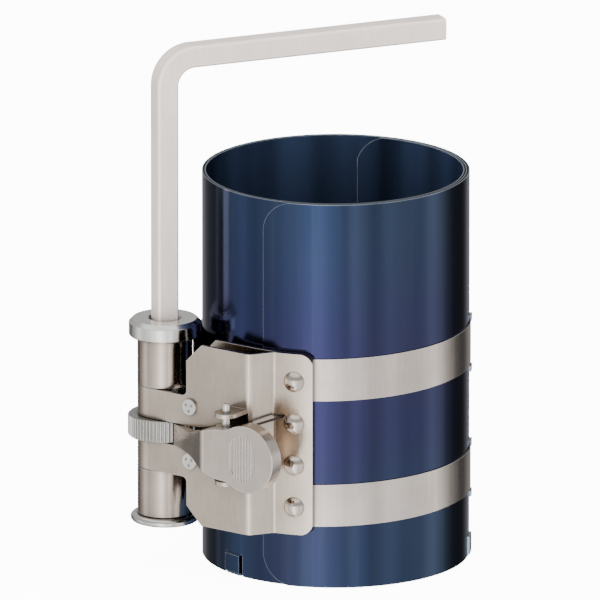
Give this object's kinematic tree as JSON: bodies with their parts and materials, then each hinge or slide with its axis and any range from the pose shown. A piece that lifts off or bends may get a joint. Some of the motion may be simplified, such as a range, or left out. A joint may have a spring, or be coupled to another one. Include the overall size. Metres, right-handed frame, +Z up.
{
  "type": "piston ring compressor",
  "caption": "Ratchet band piston ring compressor: a blue spring-steel coil closed by steel bands, with spindle, thumb pawl and square key.",
  "frame": {"origin": "on the coil axis at its lower rim", "axes": "+Z up along the coil axis; -Y is the side of the bracket's front plate; the spindle stands at -X"},
  "size_m": [0.1074, 0.127, 0.2027],
  "materials": {
    "blued_steel": "gloss",
    "nickel_steel": "satin",
    "zinc_steel": "satin",
    "polished_rivet": "polished",
    "spring_wire": "satin",
    "key_steel": "satin"
  },
  "bodies": {
    "frame": {"coil_sleeve": "blued_steel", "upper_band": "nickel_steel", "lower_band": "nickel_steel", "bracket": "nickel_steel", "band_rivets": "polished_rivet", "sleeve_rivets": "polished_rivet", "stay_rivets": "zinc_steel", "pawl_pin": "zinc_steel", "pawl_spring": "spring_wire"},
    "spindle": {"spindle": "zinc_steel", "ratchet_wheel": "zinc_steel", "bottom_washer": "zinc_steel", "upper_band_roll": "nickel_steel", "lower_band_roll": "nickel_steel"},
    "pawl": {"pawl_lever": "nickel_steel"},
    "key": {"square_key": "key_steel"}
  },
  "joints": [
    {"name": "spindle_turn", "type": "hinge", "parent": "frame", "child": "spindle", "pos_m": [-0.0418, -0.05195, 0.0564], "axis": [0, 0, 1], "range_deg": [-204, 1248]},
    {"name": "key_lift", "type": "slide", "parent": "spindle", "child": "key", "axis": [0, 0, 1], "range_m": [0, 0.036]},
    {"name": "pawl_press", "type": "hinge", "parent": "frame", "child": "pawl", "pos_m": [0, -0.06995, 0.0564], "axis": [0, 0, 1], "range_deg": [0, 12], "stiffness_Nm_per_rad": 0.15, "springref_deg": -20.05, "deforming": ["pawl_spring"]}
  ]
}
